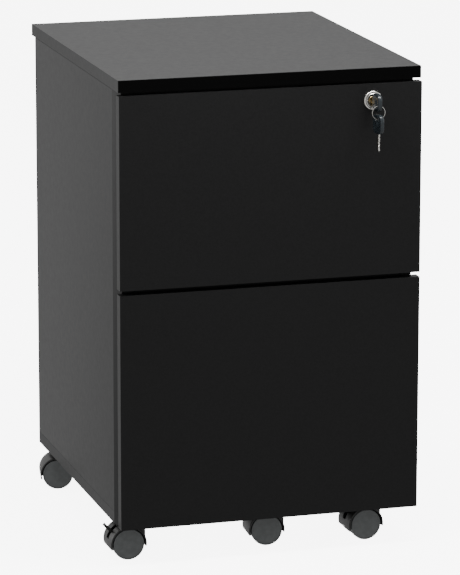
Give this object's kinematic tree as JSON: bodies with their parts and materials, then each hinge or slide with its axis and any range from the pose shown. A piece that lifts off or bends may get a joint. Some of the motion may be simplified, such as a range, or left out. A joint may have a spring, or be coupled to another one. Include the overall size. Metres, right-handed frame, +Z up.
{
  "type": "rolling pedestal cabinet",
  "caption": "Steel drawer pedestal on swivel casters, with handle-less finger-grip drawer fronts, a cam lock with keys and an anti-tip caster under the lower drawer.",
  "frame": {"origin": "on the floor under the middle of the bounding box at rest, with the drawers shut", "axes": "+X to the right of a person facing the drawers, +Y to the rear, +Z up"},
  "size_m": [0.3992, 0.4793, 0.61],
  "materials": {
    "black_paint": "matte powder coat with a fine texture",
    "zinc_plate": "bright zinc plate",
    "chrome": "polished",
    "brass_plug": "machined",
    "black_plastic": "moulded, slightly glossy",
    "grey_tyre": "moulded nylon, satin"
  },
  "bodies": {
    "cabinet": {"top_panel": "black_paint", "left_side_panel": "black_paint", "right_side_panel": "black_paint", "back_panel": "black_paint", "base_panel": "black_paint", "upper_front_rail": "black_paint", "middle_front_rail": "black_paint", "upper_left_slide_outer": "zinc_plate", "upper_right_slide_outer": "zinc_plate", "lower_left_slide_outer": "zinc_plate", "lower_right_slide_outer": "zinc_plate", "front_left_stem": "zinc_plate", "front_right_stem": "zinc_plate", "rear_left_stem": "zinc_plate", "rear_right_stem": "zinc_plate"},
    "upper_drawer": {"upper_drawer_front": "black_paint", "upper_drawer_tray": "black_paint", "upper_left_slide_inner": "zinc_plate", "upper_right_slide_inner": "zinc_plate", "lock_housing": "chrome", "lock_nut": "zinc_plate"},
    "lower_drawer": {"lower_drawer_front": "black_paint", "lower_drawer_tray": "black_paint", "left_file_rail": "zinc_plate", "right_file_rail": "zinc_plate", "lower_left_slide_inner": "zinc_plate", "lower_right_slide_inner": "zinc_plate", "centre_stem": "zinc_plate"},
    "upper_slide_middles": {"upper_left_slide_middle": "zinc_plate", "upper_right_slide_middle": "zinc_plate"},
    "lower_slide_middles": {"lower_left_slide_middle": "zinc_plate", "lower_right_slide_middle": "zinc_plate"},
    "lock_rotor": {"lock_plug": "brass_plug", "lock_cam": "zinc_plate", "key": "black_plastic"},
    "lock_bar": {"lock_bar": "zinc_plate"},
    "key_ring": {"key_ring": "chrome"},
    "spare_key": {"spare_key": "black_plastic"},
    "front_left_swivel": {"front_left_hood": "black_plastic", "front_left_axle": "zinc_plate"},
    "front_left_wheel_left": {"front_left_wheel_left": "grey_tyre"},
    "front_left_wheel_right": {"front_left_wheel_right": "grey_tyre"},
    "front_left_brake_lever": {"front_left_brake_lever": "black_plastic"},
    "front_right_swivel": {"front_right_hood": "black_plastic", "front_right_axle": "zinc_plate"},
    "front_right_wheel_left": {"front_right_wheel_left": "grey_tyre"},
    "front_right_wheel_right": {"front_right_wheel_right": "grey_tyre"},
    "front_right_brake_lever": {"front_right_brake_lever": "black_plastic"},
    "rear_left_swivel": {"rear_left_hood": "black_plastic", "rear_left_axle": "zinc_plate"},
    "rear_left_wheel_left": {"rear_left_wheel_left": "grey_tyre"},
    "rear_left_wheel_right": {"rear_left_wheel_right": "grey_tyre"},
    "rear_right_swivel": {"rear_right_hood": "black_plastic", "rear_right_axle": "zinc_plate"},
    "rear_right_wheel_left": {"rear_right_wheel_left": "grey_tyre"},
    "rear_right_wheel_right": {"rear_right_wheel_right": "grey_tyre"},
    "centre_swivel": {"centre_hood": "black_plastic", "centre_axle": "zinc_plate"},
    "centre_wheel_left": {"centre_wheel_left": "grey_tyre"},
    "centre_wheel_right": {"centre_wheel_right": "grey_tyre"}
  },
  "joints": [
    {"name": "upper_drawer_slide", "type": "slide", "parent": "cabinet", "child": "upper_drawer", "axis": [0, -1, 0], "range_m": [0, 0.38]},
    {"name": "lower_drawer_slide", "type": "slide", "parent": "cabinet", "child": "lower_drawer", "axis": [0, -1, 0], "range_m": [0, 0.38]},
    {"name": "upper_slide_travel", "type": "slide", "parent": "cabinet", "child": "upper_slide_middles", "axis": [0, -1, 0], "range_m": [0, 0.19]},
    {"name": "lower_slide_travel", "type": "slide", "parent": "cabinet", "child": "lower_slide_middles", "axis": [0, -1, 0], "range_m": [0, 0.19]},
    {"name": "lock_bar_lift", "type": "slide", "parent": "cabinet", "child": "lock_bar", "axis": [0, 0, 1], "range_m": [0, 0.01]},
    {"name": "key_turn", "type": "hinge", "parent": "upper_drawer", "child": "lock_rotor", "pos_m": [0.1355, -0.2055, 0.571], "axis": [0, -1, 0], "range_deg": [0, 90]},
    {"name": "key_ring_swing", "type": "hinge", "parent": "lock_rotor", "child": "key_ring", "pos_m": [0.1355, -0.229, 0.56764], "axis": [1, 0, 0], "range_deg": [-30, 10]},
    {"name": "spare_key_swing", "type": "hinge", "parent": "key_ring", "child": "spare_key", "pos_m": [0.1355, -0.229, 0.55124], "axis": [1, 0, 0], "range_deg": [-10, 8]},
    {"name": "front_left_swivel_turn", "type": "hinge", "parent": "cabinet", "child": "front_left_swivel", "pos_m": [-0.1475, -0.1555, 0.03], "axis": [0, 0, 1], "continuous": true},
    {"name": "front_left_wheel_left_roll", "type": "hinge", "parent": "front_left_swivel", "child": "front_left_wheel_left", "pos_m": [-0.1675, -0.1555, 0.02], "axis": [0, 1, 0], "continuous": true},
    {"name": "front_left_wheel_right_roll", "type": "hinge", "parent": "front_left_swivel", "child": "front_left_wheel_right", "pos_m": [-0.1675, -0.1555, 0.02], "axis": [0, 1, 0], "continuous": true},
    {"name": "front_left_brake", "type": "hinge", "parent": "front_left_swivel", "child": "front_left_brake_lever", "pos_m": [-0.1825, -0.1555, 0.032], "axis": [0, -1, 0], "range_deg": [0, 25]},
    {"name": "front_right_swivel_turn", "type": "hinge", "parent": "cabinet", "child": "front_right_swivel", "pos_m": [0.1615, -0.1555, 0.03], "axis": [0, 0, 1], "continuous": true},
    {"name": "front_right_wheel_left_roll", "type": "hinge", "parent": "front_right_swivel", "child": "front_right_wheel_left", "pos_m": [0.14153, -0.15655, 0.02], "axis": [-0.0523, 0.9986, 0], "continuous": true},
    {"name": "front_right_wheel_right_roll", "type": "hinge", "parent": "front_right_swivel", "child": "front_right_wheel_right", "pos_m": [0.14153, -0.15655, 0.02], "axis": [-0.0523, 0.9986, 0], "continuous": true},
    {"name": "front_right_brake", "type": "hinge", "parent": "front_right_swivel", "child": "front_right_brake_lever", "pos_m": [0.12655, -0.15733, 0.032], "axis": [0.0523, -0.9986, 0], "range_deg": [0, 25]},
    {"name": "rear_left_swivel_turn", "type": "hinge", "parent": "cabinet", "child": "rear_left_swivel", "pos_m": [-0.1535, 0.1695, 0.03], "axis": [0, 0, 1], "continuous": true},
    {"name": "rear_left_wheel_left_roll", "type": "hinge", "parent": "rear_left_swivel", "child": "rear_left_wheel_left", "pos_m": [-0.17313, 0.17332, 0.02], "axis": [0.1908, 0.9816, 0], "continuous": true},
    {"name": "rear_left_wheel_right_roll", "type": "hinge", "parent": "rear_left_swivel", "child": "rear_left_wheel_right", "pos_m": [-0.17313, 0.17332, 0.02], "axis": [0.1908, 0.9816, 0], "continuous": true},
    {"name": "rear_right_swivel_turn", "type": "hinge", "parent": "cabinet", "child": "rear_right_swivel", "pos_m": [0.1675, 0.1695, 0.03], "axis": [0, 0, 1], "continuous": true},
    {"name": "rear_right_wheel_left_roll", "type": "hinge", "parent": "rear_right_swivel", "child": "rear_right_wheel_left", "pos_m": [0.14769, 0.16672, 0.02], "axis": [-0.1392, 0.9903, 0], "continuous": true},
    {"name": "rear_right_wheel_right_roll", "type": "hinge", "parent": "rear_right_swivel", "child": "rear_right_wheel_right", "pos_m": [0.14769, 0.16672, 0.02], "axis": [-0.1392, 0.9903, 0], "continuous": true},
    {"name": "centre_swivel_turn", "type": "hinge", "parent": "lower_drawer", "child": "centre_swivel", "pos_m": [0.036, -0.1465, 0.03], "axis": [0, 0, 1], "continuous": true},
    {"name": "centre_wheel_left_roll", "type": "hinge", "parent": "centre_swivel", "child": "centre_wheel_left", "pos_m": [0.01605, -0.14511, 0.02], "axis": [0.0698, 0.9976, 0], "continuous": true},
    {"name": "centre_wheel_right_roll", "type": "hinge", "parent": "centre_swivel", "child": "centre_wheel_right", "pos_m": [0.01605, -0.14511, 0.02], "axis": [0.0698, 0.9976, 0], "continuous": true}
  ],
  "couplings": [
    {"joint": "upper_slide_travel", "follows": "upper_drawer_slide", "ratio": 0.5},
    {"joint": "lower_slide_travel", "follows": "lower_drawer_slide", "ratio": 0.5},
    {"joint": "key_turn", "follows": "lock_bar_lift", "rad_per_m": 157.08}
  ]
}
